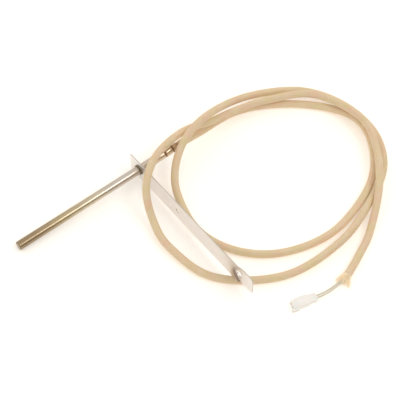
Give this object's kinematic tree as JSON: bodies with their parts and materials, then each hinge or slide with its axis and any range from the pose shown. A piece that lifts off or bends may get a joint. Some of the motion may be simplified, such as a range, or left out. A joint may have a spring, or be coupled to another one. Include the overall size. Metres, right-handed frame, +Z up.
{
  "type": "sheathed temperature probe",
  "caption": "Steel sheathed heat probe on a long drilled mounting strip, with a braided lead coiled behind it and a small plug.",
  "frame": {"origin": "bottom centre of the box round the tube and the strip, on the surface that the part lies on", "axes": "+X along the tube towards its closed tip, +Y along the strip towards its far end, +Z up from the surface"},
  "size_m": [0.256, 0.1583, 0.0247],
  "materials": {
    "tube": "drawn stainless steel, golden heat tint towards the tip",
    "strip": "plain rolled stainless sheet, semi-matt",
    "collar": "dull brown, heat-darkened",
    "ceramic": "unglazed, matt",
    "braid": "braided glass yarn, beige, matt with a slight sheen",
    "wire": "varnished glass-lapped wire, pale",
    "plug": "moulded nylon, white",
    "contact": "tinned"
  },
  "bodies": {
    "root": {"sheath_tube": "tube", "tip_plug": "tube", "mounting_strip": "strip", "front_collar": "collar", "rear_collar": "collar", "tip_cement": "ceramic", "sensing_element": "ceramic", "ceramic_insulator": "ceramic", "inner_sleeving": "braid", "crimp_bush": "ceramic", "splice_barrel_1": "contact", "splice_barrel_2": "contact", "element_lead_1": "contact", "element_lead_2": "contact", "braided_sleeve": "braid", "braid_fray": "braid", "core_wire_1": "wire", "core_wire_2": "wire", "plug_housing": "plug", "terminal_1": "contact", "terminal_2": "contact"}
  },
  "joints": []
}
